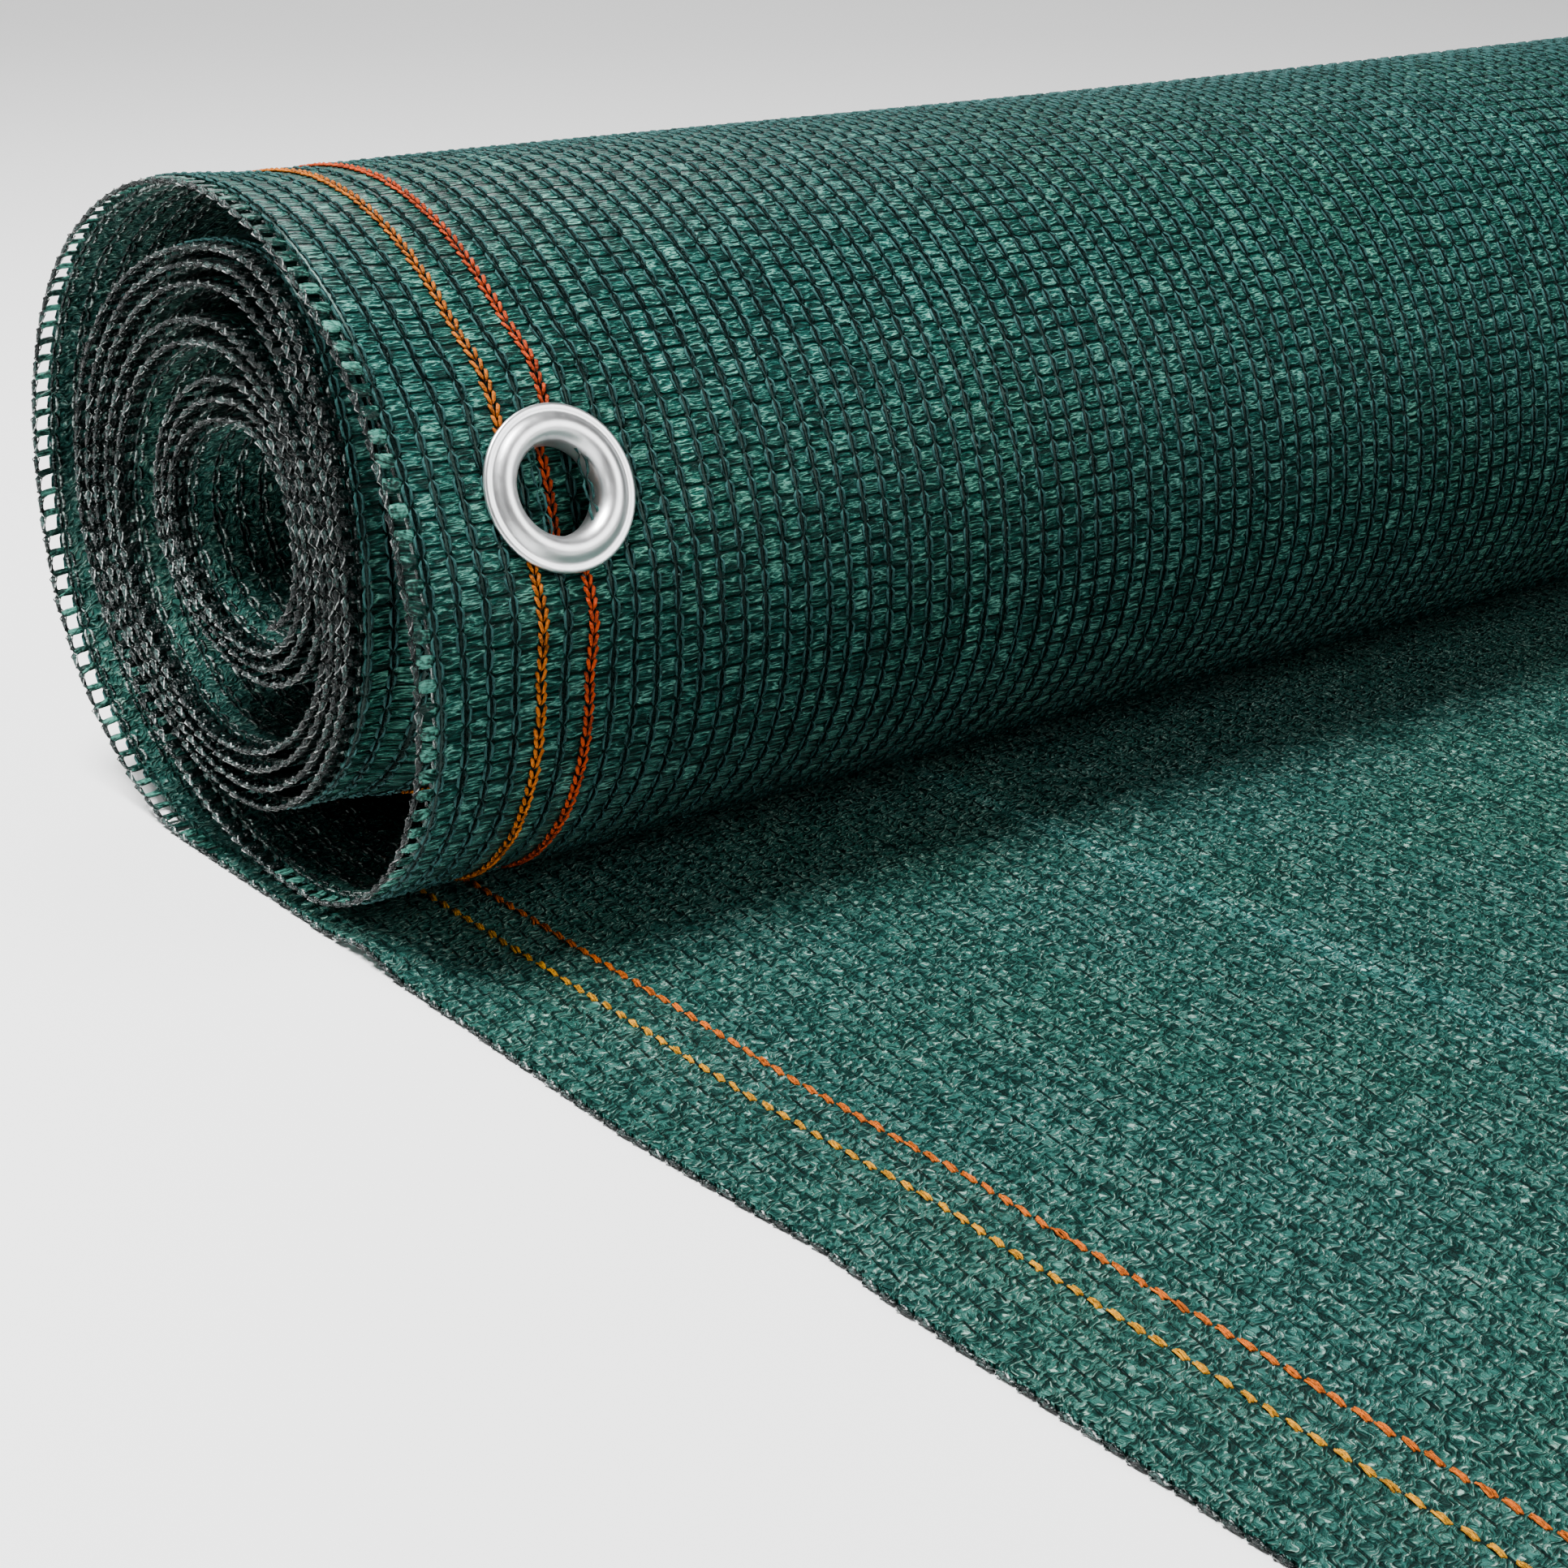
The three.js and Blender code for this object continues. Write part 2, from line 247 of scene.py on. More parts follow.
def cloth_point(x, turn, height):
    """Points at a height over the cloth's outer surface, and the surface's outward normals.

    The section is pressed onto the eyelet's plane near the eyelet, lifted at the near edge beside
    the roll, and waved at both free edges. The flat part strays a little along the roll.
    """
    x, turn, height = np.broadcast_arrays(*(np.asarray(value, float) for value in (x, turn, height)))
    y, z, along_y, along_z = bare_section(x, turn)
    points = np.stack([x, y, z], -1)
    normals = np.stack([np.zeros_like(x), along_z, -along_y], -1)
    away = np.linalg.norm(points - SEAT, axis=-1)
    near_seat = 1 - smooth(away, SEAT_FLAT_RADIUS, SEAT_EASED_RADIUS)
    pressed = near_seat * (turn >= 0) * (turn < OUTER_QUARTERS)
    over = (points - SEAT) @ SEAT_FACING
    points = points - (over * pressed)[..., None] * SEAT_FACING
    normals = normals + pressed[..., None] * (SEAT_FACING - normals)
    normals = normals / np.linalg.norm(normals, axis=-1, keepdims=True)
    spread = np.exp(-(((y - LIFT_Y) / LIFT_SPREAD) ** 2))
    lift = LIFT_HEIGHT * (turn < 0) * spread * (1 - smooth(x, 0, LIFT_DEPTH))
    wave = EDGE_WAVE * (0.5 + 0.5 * np.sin(2 * math.pi * (y + z) / EDGE_WAVE_LENGTH))
    near = 1 - smooth(x, 0, EDGE_WAVE_DEPTH)
    far = 1 - smooth(CLOTH_WIDTH - x, 0, EDGE_WAVE_DEPTH)
    points[..., 0] += np.where(turn < 0, stray(x, y) - wave * far, wave * (near - far))
    points[..., 2] += lift
    return points + normals * height[..., None], normals


def length_table():
    """Winding parameters, and the length of cloth from the flat end to each of them."""
    turns = np.concatenate([[-1.0], np.arange(0, LAST_QUARTER + 1e-9, 1 / 32)])
    y, z, _, _ = bare_section(np.full(len(turns), CLOTH_WIDTH / 2), turns)
    steps = np.hypot(np.diff(y), np.diff(z))
    return turns, np.concatenate([[0.0], np.cumsum(steps)])


TABLE_TURNS, TABLE_LENGTHS = length_table()
CLOTH_LENGTH = TABLE_LENGTHS[-1]


def turn_at(length):
    """The winding parameter at a length of cloth from the flat end."""
    return np.interp(length, TABLE_LENGTHS, TABLE_TURNS)


def length_at(turn):
    """The length of cloth from the flat end to a winding parameter."""
    return np.interp(turn, TABLE_TURNS, TABLE_LENGTHS)


def wale_x(number):
    """Place of a wale across the cloth: a little wider apart in the border than after it."""
    return np.interp(number, WALE_NUMBERS, WALE_PLACES)


def wale_number(x):
    """The wale at a place across the cloth, going on past the first and the last one."""
    border_pitch = (BORDER_WALE - FIRST_WALE) / BORDER_COUNT
    pitch = (CLOTH_WIDTH - FIRST_WALE - BORDER_WALE) / (WALE_COUNT - BORDER_COUNT)
    in_border = (x - FIRST_WALE) / border_pitch
    return np.where(x < BORDER_WALE, in_border, BORDER_COUNT + (x - BORDER_WALE) / pitch)


def to_frame(points):
    """Section millimetres to metres in the row frame."""
    return (points + SHIFT) * MM


def new_piece(name, points, faces, materials, uv=None, uv_name="knit", slots=None):
    """A mesh object from points in the section's frame and a list of face arrays."""
    mesh = bpy.data.meshes.new(name)
    face_list = [face for block in faces for face in block.tolist()]
    mesh.from_pydata(to_frame(points).tolist(), [], face_list)
    if uv is not None:
        corners = np.concatenate([block.ravel() for block in faces])
        mesh.uv_layers.new(name=uv_name).data.foreach_set("uv", uv[corners].astype(np.float32).ravel())
    for material in materials:
        mesh.materials.append(material)
    if slots is not None:
        mesh.polygons.foreach_set("material_index", slots.astype(np.int32))
    mesh.polygons.foreach_set("use_smooth", np.ones(len(mesh.polygons), bool))
    mesh.update()
    piece = bpy.data.objects.new(name, mesh)
    bpy.context.scene.collection.objects.link(piece)
    return piece


def threads(paths, normals, widths, thickness, sides):
    """Pointed threads carried along many short paths at once.

    paths and normals are (thread, step, 3). At each inner step the section is an ellipse, widths
    wide across the surface and thickness high, given a value a step. The first and last steps are
    the tips. Returns points, faces and a UV of (share along the thread, thread number plus place
    round its section, from 0.1 to 0.9 and back).
    """
    count, steps, _ = paths.shape
    tangents = np.gradient(paths, axis=1)
    across = np.cross(tangents, normals)
    across /= np.linalg.norm(across, axis=-1, keepdims=True)
    up = np.cross(across, tangents)
    up /= np.linalg.norm(up, axis=-1, keepdims=True)
    angles = 2 * math.pi * np.arange(sides) / sides + math.pi / 2
    half_width = np.broadcast_to(np.asarray(widths, float) / 2, (count, steps))[:, 1:-1, None, None]
    half_height = np.broadcast_to(np.asarray(thickness, float) / 2, (count, steps))[:, 1:-1, None, None]
    rings = (
        paths[:, 1:-1, None]
        + across[:, 1:-1, None] * np.cos(angles)[None, None, :, None] * half_width
        + up[:, 1:-1, None] * np.sin(angles)[None, None, :, None] * half_height
    )
    ring_count = steps - 2
    each = ring_count * sides + 2
    body = rings.reshape(count, ring_count * sides, 3)
    points = np.concatenate([body, paths[:, :1], paths[:, -1:]], axis=1).reshape(-1, 3)
    start = (np.arange(count) * each)[:, None, None]
    ring = np.arange(ring_count - 1)[None, :, None] * sides
    side = np.arange(sides)[None, None, :]
    after = (side + 1) % sides
    here = start + ring + side
    beside = start + ring + after
    walls = np.stack([here, here + sides, beside + sides, beside], -1)
    first_tip = start + ring_count * sides
    last_ring = start + (ring_count - 1) * sides
    front = np.stack(np.broadcast_arrays(first_tip, start + side, start + after), -1)
    back = np.stack(np.broadcast_arrays(first_tip + 1, last_ring + after, last_ring + side), -1)
    shares = np.linspace(0, 1, steps)
    along = np.concatenate([np.repeat(shares[1:-1], sides), [0.0, 1.0]])
    round_section = 0.9 - 0.8 * abs(2 * np.arange(sides) / sides - 1)
    around = np.concatenate([np.tile(round_section, ring_count), [0.5, 0.5]])
    uv = np.stack(np.broadcast_arrays(along[None, :], np.arange(count)[:, None] + around), -1).reshape(-1, 2)
    return points, [walls.reshape(-1, 4), front.reshape(-1, 3), back.reshape(-1, 3)], uv


def joined(parts):
    """Several (points, faces, uv) sets as one. Thread numbers go on from set to set."""
    points, uv, faces = [], [], []
    offset, number = 0, 0.0
    for part_points, part_faces, part_uv in parts:
        points.append(part_points)
        uv.append(part_uv + [0, number])
        faces.extend(block + offset for block in part_faces)
        offset += len(part_points)
        number += math.ceil(part_uv[:, 1].max())
    return np.concatenate(points), faces, np.concatenate(uv)


def thread_piece(name, mesh_data, material):
    """A piece from the points, faces and UV of its threads."""
    points, faces, uv = mesh_data
    return new_piece(name, points, faces, [material], uv, "thread")


def along_cloth(x, length, across, forward, height):
    """Thread paths laid on the cloth: offsets across, forward and in height from anchor places."""
    places = x[:, None] + across
    turns = turn_at(length[:, None] + forward)
    return cloth_point(places, turns, height)


# Sheet grid


def sheet_rows():
    """Lengths at which the sheet has a row: closer where it bends, and finest at the eyelet."""
    flat = np.arange(0, length_at(0), FLAT_ROW_STEP)
    outer = np.linspace(length_at(0), length_at(OUTER_QUARTERS), OUTER_QUARTERS * OUTER_ROWS + 1)
    inner_turns = np.arange(OUTER_QUARTERS + 1 / INNER_ROWS, LAST_QUARTER + 1e-6, 1 / INNER_ROWS)
    hole = length_at(seat_turn()) + np.arange(-HOLE_ROWS_REACH, HOLE_ROWS_REACH + 0.1, HOLE_ROW_STEP)
    return np.unique(np.concatenate([flat, outer, length_at(inner_turns), hole]))


def sheet_columns():
    """Places across the cloth at which the sheet has a column: closest together at the border."""
    edge = np.array([CLOSED_EDGE, SHEET_EDGE])
    near = np.arange(SHEET_EDGE + BORDER_COLUMN_STEP, BORDER_COLUMNS_TO, BORDER_COLUMN_STEP)
    middle = np.arange(MIDDLE_COLUMNS_FROM, CLOTH_WIDTH - FAR_COLUMNS_WIDTH, MIDDLE_COLUMN_STEP)
    far = CLOTH_WIDTH - SHEET_EDGE - np.array(FAR_COLUMNS)
    return np.concatenate([edge, near, middle, far, CLOTH_WIDTH - edge[::-1]])


def slab(shape, keep):
    """Faces of a thin closed slab over the kept cells of a grid, with walls where a cell ends."""
    rows, columns = shape
    index = np.arange(rows * columns).reshape(rows, columns)
    under = index + rows * columns
    a, b, c, d = index[:-1, :-1], index[1:, :-1], index[1:, 1:], index[:-1, 1:]
    e, f, g, h = under[:-1, :-1], under[1:, :-1], under[1:, 1:], under[:-1, 1:]
    padded = np.pad(keep, 1)
    no_left = keep & ~padded[1:-1, :-2]
    no_right = keep & ~padded[1:-1, 2:]
    no_before = keep & ~padded[:-2, 1:-1]
    no_after = keep & ~padded[2:, 1:-1]
    face = [np.stack([a, b, c, d], -1)[keep]]
    back = [np.stack([e, h, g, f], -1)[keep]]
    walls = [
        np.stack([a, e, f, b], -1)[no_left],
        np.stack([d, c, g, h], -1)[no_right],
        np.stack([a, d, h, e], -1)[no_before],
        np.stack([b, f, g, c], -1)[no_after],
    ]
    return face, back, walls


def eyelet_gap(lengths, columns):
    """Which grid cells stay once the eyelet's hole is cut, and the columns and rows, moved so that
    the hole's rim lies on a circle round the eyelet."""
    x, length = np.meshgrid(columns, lengths)
    middle_x = (x[:-1, :-1] + x[1:, 1:]) / 2
    middle_length = (length[:-1, :-1] + length[1:, 1:]) / 2
    eyelet_length = length_at(seat_turn())
    keep = np.hypot(middle_x - EYELET_X, middle_length - eyelet_length) > HOLE_RADIUS
    kept = np.pad(keep, 1, mode="edge")
    touched = [kept[:-1, :-1], kept[1:, :-1], kept[:-1, 1:], kept[1:, 1:]]
    rim = np.any(touched, axis=0) & ~np.all(touched, axis=0)
    radius = np.hypot(x - EYELET_X, length - eyelet_length)
    scale = np.where(rim, HOLE_RADIUS / np.maximum(radius, 1e-6), 1)
    x = EYELET_X + (x - EYELET_X) * scale
    length = eyelet_length + (length - eyelet_length) * scale
    return keep, x, length


def make_sheet(materials):
    """The cloth between its ladder borders, and to its edges on the flat part: a thin slab on a
    grid of length along it by place across it, wound as the section says. Its UV counts wales and
    courses."""
    keep, x, length = eyelet_gap(sheet_rows(), sheet_columns())
    turns = turn_at(length)
    inside_ladders = np.minimum(x[:-1, :-1], CLOTH_WIDTH - x[1:, 1:]) >= SHEET_EDGE - 0.01
    keep &= inside_ladders | (turns[1:, 1:] < OPEN_FROM)
    outer, _ = cloth_point(x, turns, 0.0)
    inner, _ = cloth_point(x, turns, -SHEET_THICKNESS)
    face, back, walls = slab(x.shape, keep)
    points = np.concatenate([outer.reshape(-1, 3), inner.reshape(-1, 3)])
    uv = np.stack([wale_number(x), length / COURSE], -1).reshape(-1, 2)
    slots = np.concatenate([np.zeros(len(face[0])), np.ones(len(back[0])), np.zeros(sum(map(len, walls)))])
    used = np.unique(np.concatenate([block.ravel() for block in face + back + walls]))
    renumber = np.zeros(len(points), int)
    renumber[used] = np.arange(len(used))
    faces = [renumber[block] for block in face + back + walls]
    uv = np.concatenate([uv, uv])[used]
    return new_piece("netting_sheet", points[used], faces, materials, uv, "knit", slots)


# Threads on the cloth


# How unevenly links are set: shares of the pitch, and over what length and how many wales they drift.
WALE_PHASE = 0.12
DRIFT_SHARE = 0.1
DRIFT_LENGTH = 37.0
DRIFT_WALES = 9.0


def link_places(wales, first, last, pitch, seed, jitter):
    """Anchor places of links: each wale by each step of the pitch, with a seeded jitter."""
    random = np.random.default_rng(seed)
    lengths = np.arange(first, last, pitch)
    x, length = np.meshgrid(wale_x(wales), lengths, indexing="ij")
    phase = random.uniform(-WALE_PHASE, WALE_PHASE, (len(wales), 1)) * pitch
    wander = np.sin(lengths / DRIFT_LENGTH)[None, :]
    drift = DRIFT_SHARE * pitch * wander * np.sin(np.asarray(wales) / DRIFT_WALES)[:, None]
    x = x + random.normal(0, jitter, x.shape)
    length = length + phase + drift + random.normal(0, jitter, x.shape)
    return x.ravel(), length.ravel(), random


CHAIN_FORWARD = np.array([-0.05, 0.28, 0.72, 1.06]) * COURSE
CHAIN_SPREAD = np.array([0.06, 0.58, 0.5, 0.02])
CHAIN_HEIGHT = np.array([-0.1, 0.2, 0.16, -0.1])
CHAIN_WIDTH = np.array([0.1, 0.58, 0.55, 0.1])
CHAIN_THICKNESS = 0.42
CHAIN_PIECES = ("near", "middle", "far")
CHAIN_PIECE_WALES = 67
SECOND_TURN_WALES = 10
INNER_WALES = 5


def chain_links(wales, first, last, seed, on_inner=False):
    """Pillar stitches on one face of the cloth: two bowed legs that cross at each course's ends."""
    x, length, random = link_places(wales, first, last, COURSE, seed, 0.05)
    legs = []
    for side in (-1, 1):
        bow = CHAIN_SPREAD * side * random.uniform(0.75, 1.15, (len(x), 1))
        lean = random.normal(0, 0.05, (len(x), 1)) * np.linspace(-1, 1, len(CHAIN_SPREAD))
        height = CHAIN_HEIGHT + 0.05 * side
        if on_inner:
            height = -SHEET_THICKNESS - height
        paths, normals = along_cloth(x, length, bow + lean, CHAIN_FORWARD, height)
        legs.append(threads(paths, normals, CHAIN_WIDTH, CHAIN_THICKNESS, 3))
    return joined(legs)


def make_chains(material, inner_material):
    """The chains on the outside of the outer turn, in three pieces along the roll, and those that
    show in the roll's near end."""
    first, last = length_at(OUTER_CHAINS)
    plain = np.array([number for number in range(WALE_COUNT + 1) if number not in STITCH_WALES])
    pieces = []
    for index, name in enumerate(CHAIN_PIECES):
        wales = plain[index * CHAIN_PIECE_WALES:(index + 1) * CHAIN_PIECE_WALES]
        links = chain_links(wales, first, last, seed=20 + index)
        pieces.append(thread_piece("wale_chains_" + name, links, material))
    second_wales = plain[plain < SECOND_TURN_WALES]
    links = chain_links(second_wales, length_at(OUTER_QUARTERS), length_at(SECOND_TURN_END), seed=24)
    pieces.append(thread_piece("wale_chains_second_turn", links, material))
    inner_end = CLOTH_LENGTH - END_MARGIN
    links = chain_links(np.arange(INNER_WALES), length_at(0.3), inner_end, seed=25, on_inner=True)
    pieces.append(thread_piece("wale_chains_inside", links, inner_material))
    return pieces


V_ACROSS = np.array([0.62, 0.56, 0.3, 0.02])
V_FORWARD = np.array([-0.25, 0.25, 1.15, 1.95])
V_HEIGHT = np.array([-0.1, 0.3, 0.3, 0.0])
V_WIDTH = np.array([0.1, 0.62, 0.56, 0.1])
V_THICKNESS = 0.5
V_PITCH = COURSE / 2

DASH_ACROSS = np.array([-0.34, -0.27, -0.08, 0.1, 0.27, 0.34])
DASH_FORWARD = np.array([0.0, 0.25, 1.0, 1.8, 2.45, 2.75])
DASH_HEIGHT = np.array([-0.9, -1.15, -1.32, -1.32, -1.15, -0.9])
DASH_WIDTH = np.array([0.08, 0.34, 0.42, 0.42, 0.34, 0.08])
DASH_THICKNESS = 0.36
DASH_STRANDS = (-0.24, 0.0, 0.24)


def stitch_places(wale, first, last, pitch, seed, margin):
    """Anchor places of a stitch row, without those that the eyelet covers."""
    x, length, random = link_places([wale], first, last, pitch, seed, 0.06)
    seen = np.hypot(x - EYELET_X, length - length_at(seat_turn())) > HOLE_RADIUS + margin
    return x[seen], length[seen], random


def outer_stitches(wale, seed):
    """Stitching on the outer face: nested Vs."""
    x, length, random = stitch_places(wale, length_at(0.15), length_at(SECOND_TURN_END), V_PITCH, seed, 1)
    parts = []
    for side in (-1, 1):
        across = V_ACROSS * side * random.uniform(0.85, 1.2, (len(x), 1))
        forward = V_FORWARD + random.normal(0, 0.08, (len(x), 1))
        paths, normals = along_cloth(x, length, across, forward, V_HEIGHT + 0.04 * side)
        parts.append(threads(paths, normals, V_WIDTH, V_THICKNESS, 4))
    return joined(parts)


def inner_stitches(wale, seed, stretch):
    """Stitching on the inner face: slanting dashes of a few strands that bend each their own way."""
    x, length, random = stitch_places(wale, 2.0, length_at(0.4), COURSE, seed, 2)
    parts = []
    for strand in DASH_STRANDS:
        bend = random.normal(0, 0.07, (len(x), len(DASH_ACROSS)))
        across = DASH_ACROSS * random.uniform(0.7, 1.25, (len(x), 1)) + strand + bend
        forward = DASH_FORWARD * stretch * random.uniform(0.85, 1.1, (len(x), 1)) - strand * 0.6
        paths, normals = along_cloth(x, length, across, forward, DASH_HEIGHT + abs(strand) * 0.4)
        parts.append(threads(paths, normals, DASH_WIDTH, DASH_THICKNESS, 4))
    return joined(parts)


# The ladder border

# How much of its course a rung fills and how thick it is, by place in the winding, and the share of
# the full size that the thinner second bundle of a near rung has.
RUNG_TURNS = (-0.05, 0.12, 1.8, 2.4, 4.0, 4.5)
RUNG_SIZES = np.array([1.0, 0.4, 0.4, 0.68, 0.68, 0.6])
RUNG_THICKNESS = (0.4, 0.5, 0.5, 0.42, 0.42, 0.4)
THIN_RUNG = 0.55
RUNG_STEPS = np.array([0.0, 0.07, 0.35, 0.65, 0.93, 1.0])
RUNG_TAPER = np.array([0.3, 0.78, 1.0, 0.96, 0.8, 0.3])
RUNG_BULGE = np.array([-0.5, -0.42, -0.36, -0.38, -0.44, -0.5])


def rungs(from_x, to_x, first, last, sizes, slant, seed):
    """Bundles of tape across a gap between two chains, one a course. A size is the share of the
    course that the bundle fills, by place in the winding."""
    random = np.random.default_rng(seed)
    length = np.arange(first, last, COURSE)
    length = length + random.normal(0, 0.08, length.shape)
    size = np.interp(turn_at(length), RUNG_TURNS, sizes) * random.uniform(0.9, 1.1, length.shape)
    thickness = np.interp(turn_at(length), RUNG_TURNS, RUNG_THICKNESS)
    x = np.full(len(length), min(from_x, to_x))
    across = abs(to_x - from_x) * RUNG_STEPS
    tilt = random.normal(slant, 0.12, (len(length), 1)) * (RUNG_STEPS - 0.5)
    height = RUNG_BULGE + random.normal(0, 0.05, (len(length), 1))
    paths, normals = along_cloth(x, length, across, tilt, height)
    widths = (size * COURSE)[:, None] * RUNG_TAPER
    return threads(paths, normals, widths, thickness[:, None], 6)


CORD_X = 0.55
BEAD_FORWARD = np.array([0.0, 0.45, 1.6, 2.8, 3.2])
BEAD_WIDTH = np.array([0.1, 0.62, 0.86, 0.62, 0.1])
TWIST_FORWARD = np.array([-0.3, 0.5, 1.5, 2.6, 3.4])
TWIST_ACROSS = np.array([-0.3, 0.45, 0.05, -0.48, 0.2])
TWIST_HEIGHT = np.array([0.15, 0.2, 0.48, 0.15, 0.05])
TWIST_WIDTH = 0.28
TWIST_THICKNESS = 0.24


def edge_cord(edge_x, seed):
    """The selvedge cord: a dark bead of wound thread a course, with filaments over it whose near-white specks
    are painted glints.
    """
    random = np.random.default_rng(seed)
    length = np.arange(0.5, CLOTH_LENGTH - END_MARGIN, COURSE)
    x = np.full(len(length), edge_x) + random.normal(0, 0.06, length.shape)
    middle = -SHEET_THICKNESS / 2
    paths, normals = along_cloth(x, length, 0.0, BEAD_FORWARD, middle)
    beads = threads(paths, normals, BEAD_WIDTH, BEAD_WIDTH * 0.9, 5)
    filaments = []
    for side in (-1, 1):
        across = TWIST_ACROSS * side * random.uniform(0.8, 1.2, (len(x), 1))
        height = middle + side * TWIST_HEIGHT
        paths, normals = along_cloth(x, length, across, TWIST_FORWARD, height)
        filaments.append(threads(paths, normals, TWIST_WIDTH, TWIST_THICKNESS, 3))
    return beads, joined(filaments)


def make_ladders(tape, shaded_inner_tape, dark, glinting_filament):
    """Ladder borders along both free edges: rungs of tape, a beaded cord and its filaments."""
    chain = wale_x(0)
    outside = (length_at(OPEN_FROM) + 1, length_at(LADDER_SPLIT))
    inside = (length_at(LADDER_SPLIT), CLOTH_LENGTH - 3)
    thin = RUNG_SIZES * THIN_RUNG
    far_edge, far_chain = CLOTH_WIDTH - CORD_X, CLOTH_WIDTH - chain
    runs = (
        ("ladder_rungs_near", tape, [
            rungs(CORD_X, chain, *outside, RUNG_SIZES, 0.25, seed=41),
            rungs(CORD_X, chain, *outside, thin, 1.5, seed=42),
        ]),
        ("ladder_rungs_near_inside", shaded_inner_tape, [
            rungs(CORD_X, chain, *inside, RUNG_SIZES, 0.25, seed=43),
            rungs(CORD_X, chain, *inside, thin, 1.5, seed=44),
        ]),
        ("ladder_rungs_far", tape, [
            rungs(far_edge, far_chain, *outside, RUNG_SIZES, 0.4, seed=45),
        ]),
        ("ladder_rungs_far_inside", shaded_inner_tape, [
            rungs(far_edge, far_chain, *inside, RUNG_SIZES, 0.4, seed=46),
        ]),
    )
    pieces = [thread_piece(name, joined(parts), material) for name, material, parts in runs]
    for end, edge_x, seed in (("near", CORD_X, 51), ("far", far_edge, 52)):
        beads, filaments = edge_cord(edge_x, seed)
        pieces.append(thread_piece("edge_beads_" + end, beads, dark))
        pieces.append(thread_piece("edge_filaments_" + end, filaments, glinting_filament))
    return pieces


# The eyelet

# Closed outlines of (radius, height over the seat): the ring with its rolled-over barrel, and the
# washer behind the cloth.
RING_PROFILE = (
    (11.3, 0.3), (11.55, 0.5), (11.55, 0.85), (11.4, 1.05), (11.05, 1.12), (10.7, 1.06), (10.5, 1.02),
    (10.15, 1.15), (9.75, 1.5), (9.3, 1.8), (8.8, 1.98), (8.3, 2.0), (7.8, 1.9), (7.35, 1.66),
    (6.95, 1.3), (6.65, 0.85), (6.45, 0.35), (6.33, -0.3), (6.25, -1.4), (6.2, -2.0), (6.3, -2.5),
    (6.6, -2.8), (7.1, -2.9), (7.6, -2.8), (8.0, -2.45), (8.1, -2.1), (7.8, -2.15), (7.5, -2.35),
    (7.1, -2.4), (6.8, -2.2), (6.7, -1.8), (6.75, -1.2), (6.8, -0.2), (7.0, 0.5), (7.5, 1.1),
    (8.3, 1.4), (9.0, 1.3), (9.7, 0.8), (10.3, 0.4),
)
WASHER_PROFILE = (
    (7.0, -1.15), (9.0, -1.12), (11.0, -1.12), (11.25, -1.3), (11.3, -1.6), (11.1, -1.8), (10.5, -1.75),
    (9.4, -1.9), (8.4, -2.02), (7.5, -2.0), (7.05, -1.7),
)


EYELET_SIDES = 96


def revolved(name, profile, material):
    """A closed profile of (radius, height over the seat) turned round the seat's axis."""
    profile = np.array(profile)
    spoke = np.arange(EYELET_SIDES)
    angles = 2 * math.pi * spoke / EYELET_SIDES
    across = np.array([1.0, 0.0, 0.0])
    upward = np.cross(SEAT_FACING, across)
    spokes = np.cos(angles)[:, None] * across + np.sin(angles)[:, None] * upward
    points = SEAT + spokes[:, None] * profile[None, :, :1] + SEAT_FACING * profile[None, :, 1:]
    count = len(profile)
    here = spoke[:, None] * count
    beside = (spoke[:, None] + 1) % EYELET_SIDES * count
    step = np.arange(count)[None, :]
    after = (step + 1) % count
    quads = np.stack([here + step, here + after, beside + after, beside + step], -1)
    return new_piece(name, points.reshape(-1, 3), [quads.reshape(-1, 4)], [material])


# Materials


class Value:
    """A shader socket that Python's operators work on: each operation adds a Math node."""

    def __init__(self, finish, socket):
        self.finish = finish
        self.socket = socket

    def math(self, operation, *others):
        """The result of a Math node on this value and the others."""
        return self.finish.add("ShaderNodeMath", {"operation": operation}, [self, *others])[0]

    def __add__(self, other):
        return self.math("ADD", other)

    __radd__ = __add__

    def __mul__(self, other):
        return self.math("MULTIPLY", other)

    def __sub__(self, other):
        return self.math("SUBTRACT", other)

    def __rsub__(self, other):
        return (self * -1) + other

    def __pow__(self, other):
        return self.math("POWER", other)

    def __abs__(self):
        return self.math("ABSOLUTE")


